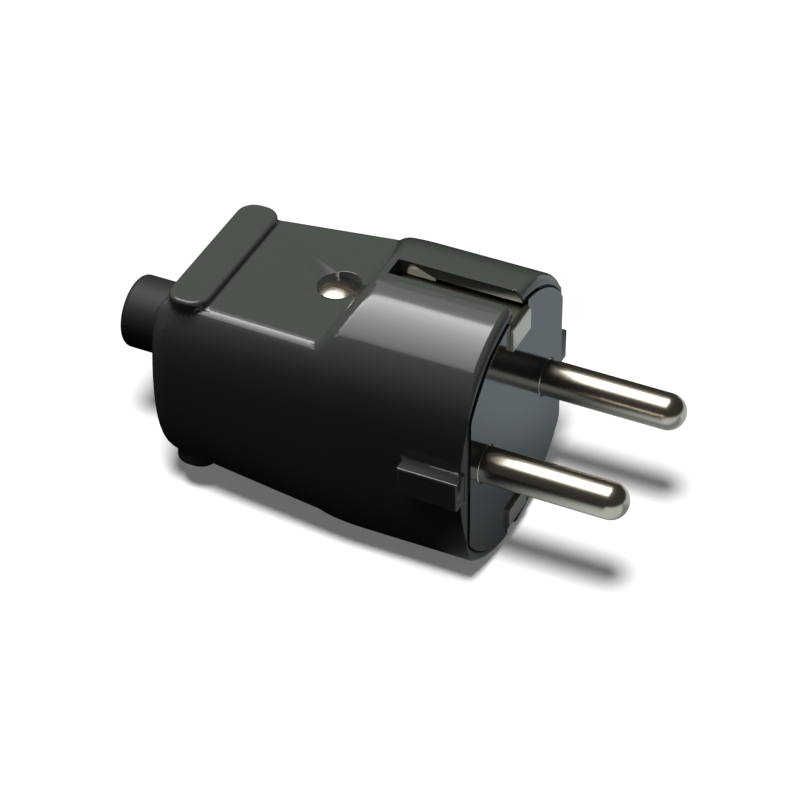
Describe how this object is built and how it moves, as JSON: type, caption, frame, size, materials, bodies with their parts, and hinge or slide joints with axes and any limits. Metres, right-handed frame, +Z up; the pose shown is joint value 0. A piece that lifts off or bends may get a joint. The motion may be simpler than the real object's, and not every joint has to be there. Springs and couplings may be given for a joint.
{
  "type": "earthed mains plug",
  "caption": "Straight rewirable two-pole mains plug: black moulded housing with a round collar, plated round pins, side earth contacts, grip bars and a rubber cord sleeve.",
  "frame": {"origin": "middle of the face that meets the socket, half-way between the pins", "axes": "+X out along the pins, +Y from the right pin to the left pin, +Z up towards the housing screw"},
  "size_m": [0.0732, 0.0344, 0.0374],
  "materials": {
    "housing": "satin gloss black moulding",
    "insert": "glossy black moulding",
    "pins": "nickel plated, polished",
    "earth_strip": "nickel plated",
    "screws": "plated steel",
    "sleeve": "matt black rubber",
    "inner_plastic": "moulded"
  },
  "bodies": {
    "root": {"housing": "housing", "insert": "insert", "pin_left": "pins", "pin_right": "pins", "earth_contact": "earth_strip", "housing_screw": "screws", "cord_sleeve": "sleeve", "pin_retainer": "inner_plastic", "terminal_screw_left": "screws", "terminal_screw_right": "screws", "earth_terminal_screw": "screws", "earth_clamp_plate": "screws", "housing_nut": "screws", "cord_clamp": "inner_plastic", "cord_clamp_screw_left": "screws", "cord_clamp_screw_right": "screws"}
  },
  "joints": []
}
